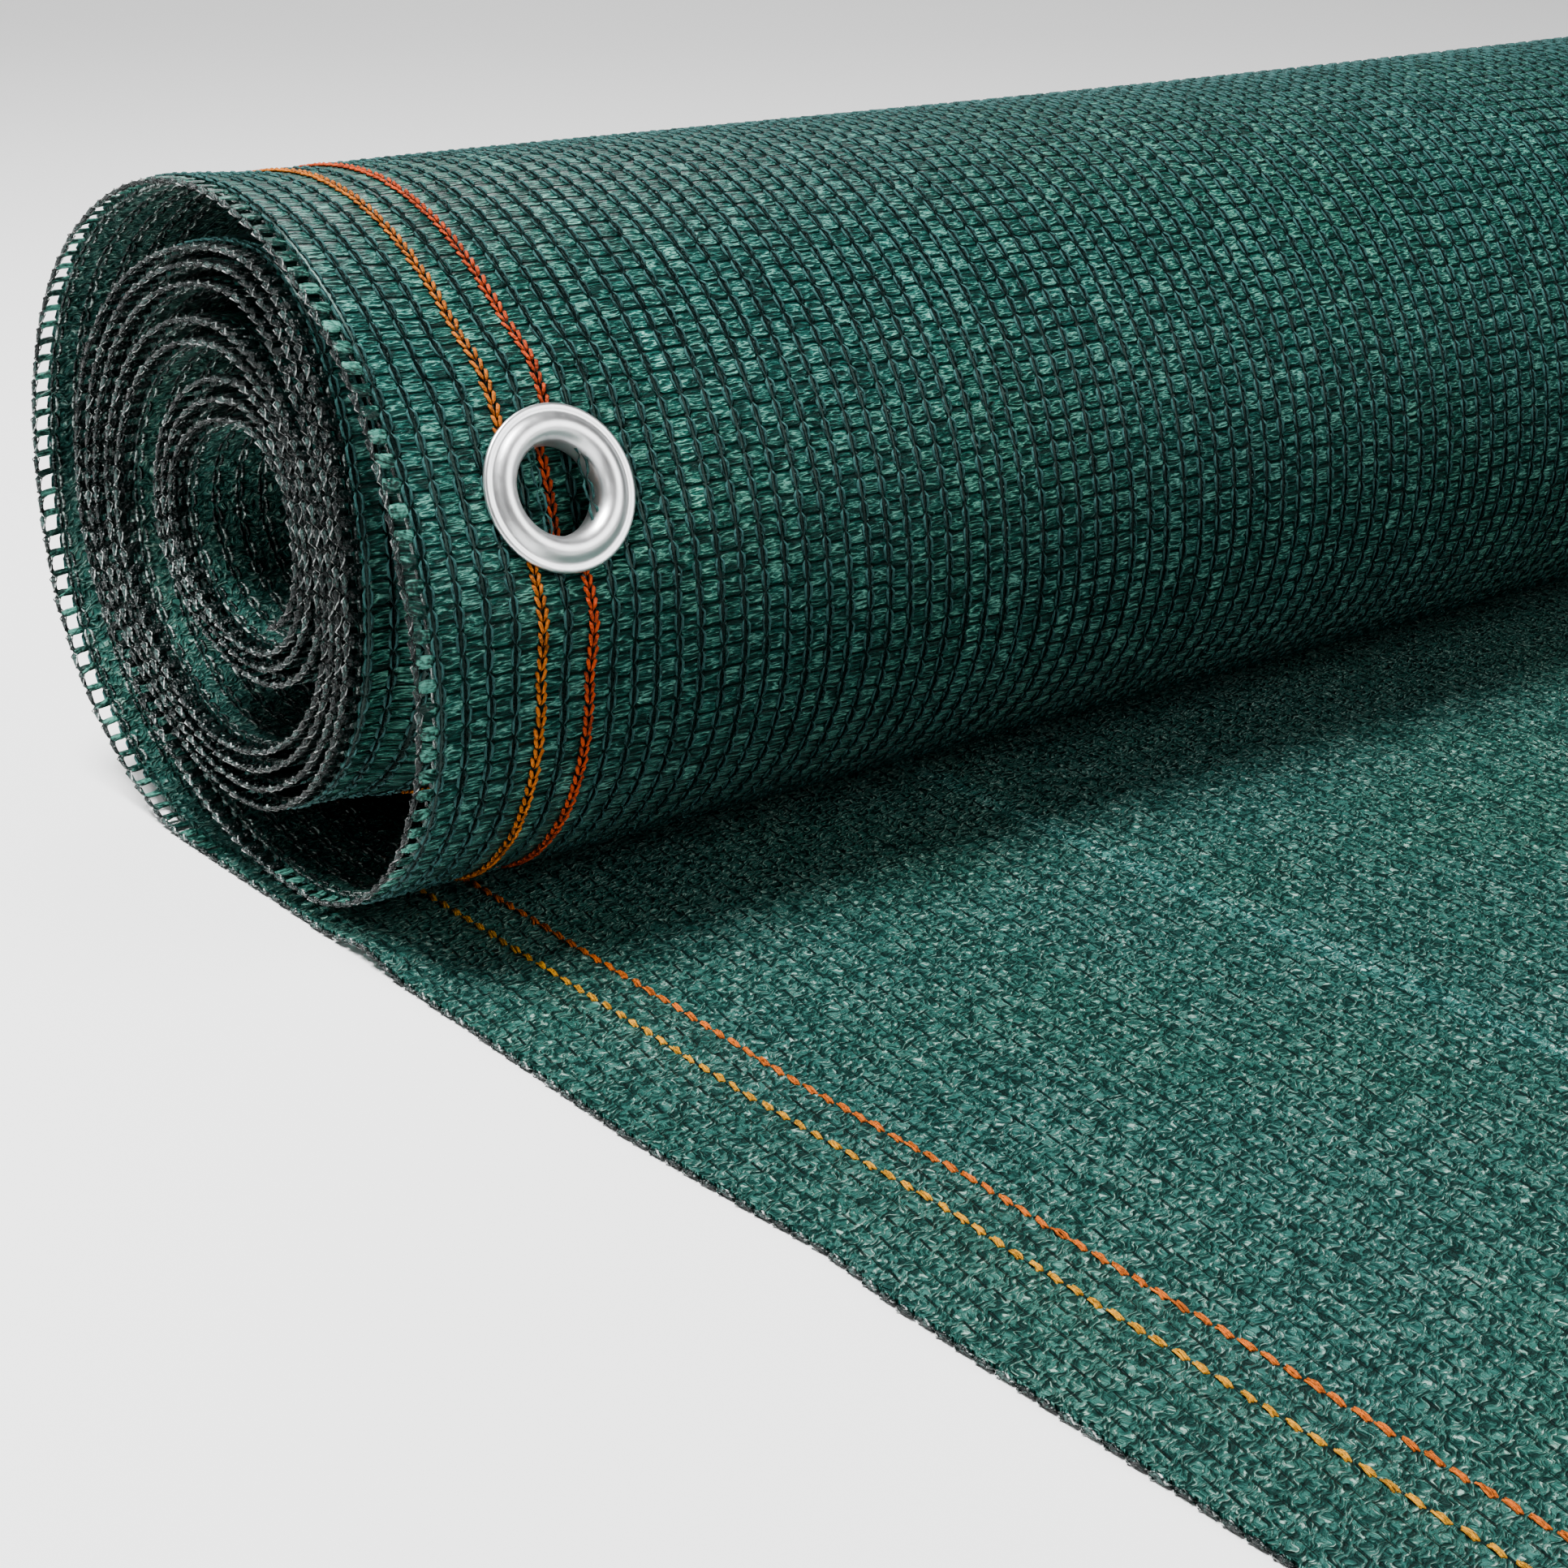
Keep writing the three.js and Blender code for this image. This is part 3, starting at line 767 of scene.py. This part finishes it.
class Tree:
    """A node tree under construction."""

    def __init__(self, tree):
        self.tree = tree

    def add(self, kind, settings=None, inputs=()):
        """Adds a node of a type, its settings first, then its sockets: a dict by name or a list by
        position. Returns its outputs as Values."""
        node = self.tree.nodes.new(kind)
        for key, value in (settings or {}).items():
            setattr(node, key, value)
        pairs = inputs.items() if isinstance(inputs, dict) else enumerate(inputs)
        for key, value in pairs:
            if isinstance(value, Value):
                self.tree.links.new(value.socket, node.inputs[key])
            else:
                node.inputs[key].default_value = value
        return [Value(self, socket) for socket in node.outputs]

    def vector(self, x=0.0, y=0.0, z=0.0):
        """Three values as one vector."""
        return self.add("ShaderNodeCombineXYZ", inputs=[x, y, z])[0]

    def noise(self, vector, scale=1.0, detail=1.0, roughness=0.6):
        """Smooth noise from 0 to 1, around 0.5."""
        values = {"Vector": vector, "Scale": scale, "Detail": detail, "Roughness": roughness}
        return self.add("ShaderNodeTexNoise", inputs=values)[0]

    def chance(self, vector):
        """A random number from 0 to 1 for each whole-numbered place."""
        return self.add("ShaderNodeTexWhiteNoise", {"noise_dimensions": "2D"}, {"Vector": vector})[0]

    def step(self, value, low, high):
        """0 at low and 1 at high, with an S-shaped rise; low may be the larger one."""
        settings = {"interpolation_type": "SMOOTHSTEP"}
        if low > high:
            return 1 - self.add("ShaderNodeMapRange", settings, [value, high, low, 0.0, 1.0])[0]
        return self.add("ShaderNodeMapRange", settings, [value, low, high, 0.0, 1.0])[0]

    def ramp(self, value, stops):
        """A colour ramp of (place, colour) stops."""
        outputs = self.add("ShaderNodeValToRGB", inputs=[value])
        elements = outputs[0].socket.node.color_ramp.elements
        while len(elements) < len(stops):
            elements.new(0.5)
        for element, (place, colour) in zip(elements, stops):
            element.position = place
            element.color = (*colour, 1)
        return outputs[0]

    def mix(self, factor, first, second, blend="MIX"):
        """Mixes two colours; a tuple is a fixed one."""
        settings = {"data_type": "RGBA", "blend_type": blend}
        colours = [value if isinstance(value, Value) else (*value, 1) for value in (first, second)]
        return self.add("ShaderNodeMix", settings, {0: factor, 6: colours[0], 7: colours[1]})[2]


class Finish(Tree):
    """A material with its Principled shader. Uniform values are set by socket name."""

    def __init__(self, name, fixed):
        self.material = bpy.data.materials.new(name)
        self.material.use_nodes = True
        super().__init__(self.material.node_tree)
        self.surface = self.tree.nodes["Principled BSDF"]
        for socket, value in fixed.items():
            self.surface.inputs[socket].default_value = value

    def feed(self, socket, value):
        """Lets a value drive a socket of the shader."""
        self.tree.links.new(value.socket, self.surface.inputs[socket])

    def uv(self, name):
        """Both values of a UV map."""
        vector = self.add("ShaderNodeUVMap", {"uv_map": name})[0]
        return self.add("ShaderNodeSeparateXYZ", inputs=[vector])[:2]

    def object_place(self):
        """The place in the object's own metres."""
        return self.add("ShaderNodeTexCoord")[3]

    def bump(self, height, distance, strength=1.0):
        """Lets a height value, times a distance in metres, tilt the surface."""
        values = {"Height": height, "Distance": distance, "Strength": strength}
        self.feed("Normal", self.add("ShaderNodeBump", inputs=values)[0])


def ridge(value):
    """Turns a noise value into thin bright ridges where it passes its middle."""
    return 1 - abs(value * 2 - 1)


# Lighter wales, one on the outside of the roll and one on the flat part, and the tape's sheen. The one on the
# flat part is a painted highlight along a crease there.
PALE_FACE_WALE = 11.5
CREASE_HIGHLIGHT_WALE = 28.65
SHEEN_TINT = (0.5, 0.92, 0.82, 1.0)
DASH_COLOUR = (0.0015, 0.006, 0.007)


def knit_face(tones):
    """The outside of the netting: a puffed bundle of crinkled tape in each cell between two
    chains, pinched where it passes under them, with painted shade in the gaps around it and
    painted highlights on its crests."""
    finish = Finish("knit_face", {"Specular IOR Level": 0.22, "Specular Tint": SHEEN_TINT})
    wales, courses = finish.uv("knit")
    wale = wales.math("FLOOR")
    across = abs((wales - wale) * 2 - 1)
    wale_chance = finish.chance(finish.vector(wale, 3.5))
    rows = courses + wale_chance * 0.9 + finish.noise(finish.vector(wale * 3.7, courses * 0.6)) * 0.5
    row = rows.math("FLOOR")
    cell_chance = finish.chance(finish.vector(wale, row))
    puff = 1 - across ** 4
    spread = ((rows - row) * 2 - 1).math("DIVIDE", puff * 0.36 + 0.6)
    bundle = finish.step(abs(spread), 1.15, 0.8) * finish.step(across, 0.92, 0.7)
    folds = finish.noise(finish.vector(wales * 1.1 + wale * 7.3, spread * 2.2 + row * 3.1, cell_chance * 5))
    fine_place = finish.vector(wales * 2.2 + wale * 3.1, spread * 5.5 + row * 7.7, cell_chance)
    fine = finish.noise(fine_place, detail=2.0)
    crinkle = finish.step(ridge(folds), 0.62, 1.0) * 0.6 + finish.step(ridge(fine), 0.6, 1.0) * 0.4
    finish.bump(bundle * (puff * 0.4 + 0.6) * 0.8 + crinkle * bundle * 0.8, 0.0011)
    # Painted light: near black in the gaps beside the chains and between bundles is painted shade, the light
    # tones on the crinkle crests are painted highlights.
    light = bundle * (crinkle * 0.85 + 0.06 + (cell_chance - 0.5) * 0.12)
    base = finish.ramp(light, tones)
    cloudy = finish.noise(finish.object_place(), 14.0, 3.0)
    base = finish.mix(finish.step(cloudy, 0.35, 0.75) * 0.5, base, (0.8, 1.0, 0.75), "MULTIPLY")
    streak = finish.step(wale_chance, 0.8, 1.0) * 0.5
    base = finish.mix(streak, base, (1.6, 1.6, 1.6), "MULTIPLY")
    pale_wale = finish.step(abs(wales - PALE_FACE_WALE), 0.9, 0.4) * finish.step(cell_chance, 0.1, 0.7) * 0.8
    base = finish.mix(pale_wale, base, (2.2, 2.0, 2.0), "MULTIPLY")
    finish.feed("Base Color", base)
    finish.feed("Roughness", 0.62 - crinkle * 0.42)
    return finish.material


def knit_back(tones):
    """The inside of the netting: slanting strokes of tape as painted highlights over painted shade, and a
    dark slanting stitch a course.
    """
    finish = Finish("knit_back", {"Specular IOR Level": 0.22, "Specular Tint": SHEEN_TINT})
    wales, courses = finish.uv("knit")
    nearest = wales.math("ROUND")
    wale_chance = finish.chance(finish.vector(nearest, 1.5))
    rows = courses + wale_chance * 0.35
    row = rows.math("FLOOR")
    along = rows - row
    cell_chance = finish.chance(finish.vector(nearest, row))
    off_line = abs(wales - nearest - (along - 0.5) * 0.17)
    dash = finish.step(off_line, 0.07, 0.02) * finish.step(abs(along - 0.5), 0.5, 0.36)
    warp = finish.noise(finish.vector(wales * 1.3, courses * 1.3), detail=1.0) * 3
    slant_along = wales * 3.45 + courses * 1.24
    slant_across = courses * 3.06 - wales * 1.39 + warp
    strokes = finish.noise(finish.vector(slant_along * 0.42, slant_across * 1.05, nearest * 0.7))
    fine = finish.noise(finish.vector(slant_along * 0.9, slant_across * 2.2), detail=2.0)
    stroke = finish.step(ridge(strokes), 0.55, 0.98)
    speck = finish.step(fine, 0.42, 0.68)
    finish.bump(stroke * 0.7 + speck * 0.5 - dash * 1.2, 0.0013)
    # Painted light: the strokes and specks are painted highlights on the crinkled tape, and the rest is
    # painted shade.
    light = stroke * 0.62 + speck * 0.38 + (cell_chance - 0.5) * 0.12
    base = finish.ramp(light, tones)
    cloudy = finish.noise(finish.object_place(), 12.0, 3.0)
    base = finish.mix(finish.step(cloudy, 0.35, 0.75) * 0.5, base, (0.8, 1.0, 0.8), "MULTIPLY")
    # Painted highlight: a lighter line along the crease in the flat part.
    pale_wale = finish.step(abs(wales - CREASE_HIGHLIGHT_WALE), 1.0, 0.2) * 0.7
    base = finish.mix(pale_wale, base, (1.7, 1.7, 1.8), "MULTIPLY")
    base = finish.mix(dash * (cell_chance * 0.7 + 0.3), base, DASH_COLOUR)
    finish.feed("Base Color", base)
    finish.feed("Roughness", 0.62 - stroke * 0.25)
    return finish.material


def thread_finish(name, dark, light, roughness, streaks=6.0, light_from=0.36, specular=0.18):
    """A thread or a bundle of tape: creases along it, and a tone of its own for each thread. Its
    colour runs from the dark one to the light one: painted shade in the creases, painted highlights
    on the crests, and painted glints from a fine noise. A higher light_from leaves more of it in
    painted shade."""
    finish = Finish(name, {"Specular IOR Level": specular})
    along, number = finish.uv("thread")
    whole = number.math("FLOOR")
    tone = finish.chance(finish.vector(whole, 0.5))
    creases = finish.noise(finish.vector(along * streaks, (number - whole) * 6.0, whole * 5.3), detail=2.0)
    grain_and_glints = finish.noise(finish.object_place(), 1700.0, roughness=0.5)
    # Painted light: the shaded colour is painted shade, the lit colour painted highlights, and the fine noise
    # adds painted glints.
    light_share = finish.step(creases * 0.55 + tone * 0.15 + grain_and_glints * 0.3, light_from, light_from + 0.22)
    finish.feed("Base Color", finish.mix(light_share, dark, light))
    finish.feed("Roughness", roughness + grain_and_glints * 0.1)
    finish.bump(creases + grain_and_glints * 0.5, 0.0005)
    return finish.material


def aluminium(tint):
    """Pressed aluminium: satin, with small scuffs and slightly worn patches."""
    finish = Finish("pressed_aluminium", {"Metallic": 1.0})
    scuffs = finish.noise(finish.object_place(), 900.0, 4.0)
    worn = finish.noise(finish.object_place(), 160.0, 3.0)
    worn_tint = tuple(0.9 * part for part in tint)
    finish.feed("Base Color", finish.mix(finish.step(worn, 0.3, 0.8), tint, worn_tint))
    finish.feed("Roughness", 0.28 + scuffs * 0.16)
    finish.bump(scuffs, 0.00002, 0.5)
    return finish.material


def floor_finish():
    """Pale matt floor with a trace of unevenness."""
    finish = Finish("pale_floor", {"Roughness": 0.9, "Specular IOR Level": 0.2})
    cloudy = finish.noise(finish.object_place(), 3.0, 2.0)
    finish.feed("Base Color", finish.mix(cloudy, (0.94, 0.94, 0.94), (0.97, 0.97, 0.97)))
    return finish.material


def sky(strength):
    """Even light that is strong from above and weak from the sides."""
    world = bpy.data.worlds.new("even_light")
    world.use_nodes = True
    tree = Tree(world.node_tree)
    direction = tree.add("ShaderNodeTexCoord")[0]
    height = tree.add("ShaderNodeSeparateXYZ", inputs=[direction])[2]
    background = world.node_tree.nodes["Background"]
    level = (tree.step(height, -0.1, 0.9) * 0.8 + 0.2) * strength
    world.node_tree.links.new(level.socket, background.inputs["Strength"])
    return world


# Add-on

# Colours of the tape on the outside, by how much light it catches: from painted shade in the gaps between
# bundles to painted highlights on the crests.
FACE_TONES = (
    (0.0, (0.0003, 0.0020, 0.0020)),
    (0.2, (0.0006, 0.0080, 0.0070)),
    (0.5, (0.0020, 0.0290, 0.0240)),
    (0.72, (0.007, 0.080, 0.067)),
    (0.92, (0.120, 0.320, 0.265)),
)
# Colours of the tape on the inside, in the same way: from painted shade up to painted highlights on the
# strokes.
BACK_TONES = (
    (0.05, (0.0006, 0.010, 0.009)),
    (0.35, (0.0038, 0.032, 0.028)),
    (0.6, (0.016, 0.078, 0.067)),
    (0.8, (0.062, 0.165, 0.142)),
    (0.95, (0.240, 0.370, 0.330)),
)

# Shaded and lit colours of the threads that the panel has no colours for: painted shade and painted
# highlights. The darker tape inside the roll is painted shade, the near-white lit colours of the inner chains
# and the filaments are painted glints, and STITCH_SHADE is the share of a stitch's colour left in its painted
# shade.
INNER_CHAIN_GLINT = (0.6, 0.72, 0.68)
INNER_TAPE_PAINTED_SHADE = ((0.0008, 0.004, 0.0035), (0.2, 0.3, 0.27))
BEAD = ((0.001, 0.004, 0.004), (0.05, 0.1, 0.09))
FILAMENT_GLINTS = ((0.002, 0.008, 0.007), (0.85, 0.9, 0.88))
STITCH_SHADE = 0.3

# Area lights: name, the property with the power, place, side, and the point aimed at, in metres.
ROLL_AIM = (-0.36, 0.1, 0.05)
BACKDROP_AIM = (0.9, 1.6, 0.0)
LIGHTS = (
    ("key", "key_power", (-0.6, 0.2, 1.0), 0.42, ROLL_AIM),
    ("front", "fill_power", (0.33, -0.85, 0.65), 0.85, ROLL_AIM),
    ("side", "side_power", (-0.85, -0.15, 0.27), 0.16, ROLL_AIM),
    ("back", "back_power", (0.9, 2.3, 1.3), 1.2, BACKDROP_AIM),
)

# The camera's place in metres, its angles in degrees, and its lens in millimetres.
CAMERA_PLACE = (-0.54794, -0.24749, 0.165)
CAMERA_AZIMUTH = -37.2
CAMERA_ELEVATION = 20.8
CAMERA_LENS = 65.33
CAMERA_SENSOR = 36.0


def power_property(name, description, default):
    """A light's power in watts that the panel shows."""
    return bpy.props.FloatProperty(name=name, description=description, default=default, unit="POWER")


class ScreenSizes(bpy.types.PropertyGroup):
    """Sizes and powers of the stage"""
    floor_size: bpy.props.FloatProperty(
        name="Floor", description="Side of the floor plane", default=16.0, unit="LENGTH")
    key_power: power_property("Key light", "Power of the large light over the roll", 37.0)
    fill_power: power_property("Fill light", "Power of the weak light from the front", 12.0)
    side_power: power_property("Side light", "Power of the small light on the near end", 0.4)
    back_power: power_property("Back light", "Power of the light on the floor behind", 30.0)
    sky_strength: bpy.props.FloatProperty(
        name="Sky", description="Strength of the even light from above", default=1.9)


def colour_property(name, description, default):
    """A colour that the panel shows."""
    return bpy.props.FloatVectorProperty(name=name, description=description, default=default, subtype="COLOR")


class ScreenColours(bpy.types.PropertyGroup):
    """Colours of the threads, the tape and the eyelet"""
    thread_dark: colour_property("Chain, shaded", "Chain thread in its folds", (0.0008, 0.006, 0.0055))
    thread_light: colour_property("Chain, lit", "Chain thread on its crests", (0.035, 0.110, 0.105))
    tape_dark: colour_property("Tape, shaded", "Ladder tape in its folds", (0.0010, 0.014, 0.011))
    tape_light: colour_property("Tape, lit", "Ladder tape on its crests", (0.075, 0.270, 0.210))
    first_stitch: colour_property("First row, outside", "Yellow-orange thread", (0.60, 0.155, 0.004))
    second_stitch: colour_property("Second row, outside", "Red-orange thread", (0.58, 0.062, 0.005))
    first_dash: colour_property("First row, inside", "Yellow thread", (0.80, 0.35, 0.004))
    second_dash: colour_property("Second row, inside", "Orange thread", (0.72, 0.15, 0.002))
    metal: colour_property("Eyelet", "Pressed aluminium", (0.92, 0.93, 0.94))


def held(piece):
    """Every piece rides on the one body."""
    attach(piece, "root")
    return piece


class SCREEN_OT_netting(bpy.types.Operator):
    """Builds the sheet of netting and the chains on the outside of the roll"""
    bl_idname = "screen.netting"
    bl_label = "Netting"

    def execute(self, context):
        colours = context.scene.screen_colours
        sheet = held(make_sheet([knit_face(FACE_TONES), knit_back(BACK_TONES)]))
        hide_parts("netting", "edge_strip")
        dark, light = tuple(colours.thread_dark), tuple(colours.thread_light)
        chain = thread_finish("chain_thread", dark, light, 0.45, light_from=0.32, specular=0.08)
        # The chains inside the roll: mostly dark as painted shade, with near-white specks as painted glints.
        inner_chain = thread_finish(
            "chain_thread_inside", dark, INNER_CHAIN_GLINT, 0.16, streaks=9.0, light_from=0.47, specular=0.35)
        for chains in make_chains(chain, inner_chain):
            held(chains)
        return {"FINISHED"}


class SCREEN_OT_ladders(bpy.types.Operator):
    """Builds the open ladder borders with their beaded cords"""
    bl_idname = "screen.ladders"
    bl_label = "Ladder borders"

    def execute(self, context):
        colours = context.scene.screen_colours
        shaded, lit = tuple(colours.tape_dark), tuple(colours.tape_light)
        tape = thread_finish("ladder_tape", shaded, lit, 0.25, streaks=2.0, light_from=0.44)
        # Inside the roll the ladder tape gets a darker copy, which is painted shade, with a few light specks
        # as painted glints.
        shaded_inner_tape = thread_finish("ladder_tape_inside", *INNER_TAPE_PAINTED_SHADE, 0.2, light_from=0.66, specular=0.2)
        dark = thread_finish("cord_bead", *BEAD, 0.2, streaks=9.0, light_from=0.46, specular=0.25)
        # The near-white lit colour of the filaments is painted glints.
        glinting_filament = thread_finish("cord_filament", *FILAMENT_GLINTS, 0.16, streaks=9.0, light_from=0.47, specular=0.35)
        for piece in make_ladders(tape, shaded_inner_tape, dark, glinting_filament):
            held(piece)
        return {"FINISHED"}


class SCREEN_OT_stitching(bpy.types.Operator):
    """Builds the two rows of border stitching"""
    bl_idname = "screen.stitching"
    bl_label = "Stitching"

    def execute(self, context):
        colours = context.scene.screen_colours
        first, second = STITCH_WALES
        rows = (
            ("stitches_first", outer_stitches(first, seed=61), colours.first_stitch),
            ("stitches_second", outer_stitches(second, seed=71), colours.second_stitch),
            ("dashes_first", inner_stitches(first, seed=62, stretch=0.95), colours.first_dash),
            ("dashes_second", inner_stitches(second, seed=72, stretch=1.1), colours.second_dash),
        )
        for name, mesh_data, colour in rows:
            light = tuple(colour)
            dark = tuple(STITCH_SHADE * part for part in light)
            material = thread_finish(name + "_thread", dark, light, 0.6)
            held(thread_piece(name, mesh_data, material))
        return {"FINISHED"}


class SCREEN_OT_eyelet(bpy.types.Operator):
    """Builds both halves of the eyelet"""
    bl_idname = "screen.eyelet"
    bl_label = "Eyelet"

    def execute(self, context):
        material = aluminium(tuple(context.scene.screen_colours.metal))
        ring = held(revolved("eyelet_ring", RING_PROFILE, material))
        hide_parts("eyelet")
        washer = held(revolved("eyelet_back_washer", WASHER_PROFILE, material))
        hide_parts("eyelet_washer")
        return {"FINISHED"}


class SCREEN_OT_stage(bpy.types.Operator):
    """Builds the floor, the lights and the camera"""
    bl_idname = "screen.stage"
    bl_label = "Stage"

    def execute(self, context):
        sizes = context.scene.screen_sizes
        half = sizes.floor_size / 2
        mesh = bpy.data.meshes.new("floor")
        corners = [(-half, -half, 0), (half, -half, 0), (half, half, 0), (-half, half, 0)]
        mesh.from_pydata(corners, [], [(0, 1, 2, 3)])
        mesh.materials.append(floor_finish())
        floor = bpy.data.objects.new("floor", mesh)
        context.scene.collection.objects.link(floor)
        floor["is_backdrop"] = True

        context.scene.world = sky(sizes.sky_strength)

        for name, power, place, side, aim in LIGHTS:
            data = bpy.data.lights.new(name, "AREA")
            data.energy = getattr(sizes, power)
            data.size = side
            lamp = bpy.data.objects.new(name, data)
            lamp.location = place
            facing = mathutils.Vector(aim) - lamp.location
            lamp.rotation_euler = facing.to_track_quat("-Z", "Y").to_euler()
            context.scene.collection.objects.link(lamp)

        data = bpy.data.cameras.new("camera")
        data.lens = CAMERA_LENS
        data.sensor_width = CAMERA_SENSOR
        data.clip_start = 0.01
        camera = bpy.data.objects.new("camera", data)
        camera.location = CAMERA_PLACE
        camera.rotation_euler = (math.radians(90 - CAMERA_ELEVATION), 0, math.radians(CAMERA_AZIMUTH))
        context.scene.collection.objects.link(camera)
        context.scene.camera = camera
        return {"FINISHED"}


class SCREEN_PT_builder(bpy.types.Panel):
    """Lists the operators of this builder"""
    bl_idname = "SCREEN_PT_builder"
    bl_label = "Privacy screen"
    bl_space_type = "VIEW_3D"
    bl_region_type = "UI"
    bl_category = "Screen"

    def draw(self, context):
        for group in (context.scene.screen_sizes, context.scene.screen_colours):
            for name in group.__annotations__:
                self.layout.prop(group, name)
        for operator in OPERATORS:
            self.layout.operator(operator.bl_idname)


OPERATORS = (
    SCREEN_OT_netting,
    SCREEN_OT_ladders,
    SCREEN_OT_stitching,
    SCREEN_OT_eyelet,
    SCREEN_OT_stage,
)
CLASSES = (ScreenSizes, ScreenColours, *OPERATORS, SCREEN_PT_builder)


def register():
    """Adds the builder's classes, and its properties to the scene."""
    for item in CLASSES:
        bpy.utils.register_class(item)
    bpy.types.Scene.screen_sizes = bpy.props.PointerProperty(type=ScreenSizes)
    bpy.types.Scene.screen_colours = bpy.props.PointerProperty(type=ScreenColours)


def unregister():
    """Takes them away again."""
    del bpy.types.Scene.screen_colours
    del bpy.types.Scene.screen_sizes
    for item in reversed(CLASSES):
        bpy.utils.unregister_class(item)


def main():
    """Builds the part and its stage."""
    register()
    bpy.ops.screen.netting()
    bpy.ops.screen.ladders()
    bpy.ops.screen.stitching()
    bpy.ops.screen.eyelet()
    bpy.ops.screen.stage()


if __name__ == "__main__":
    main()
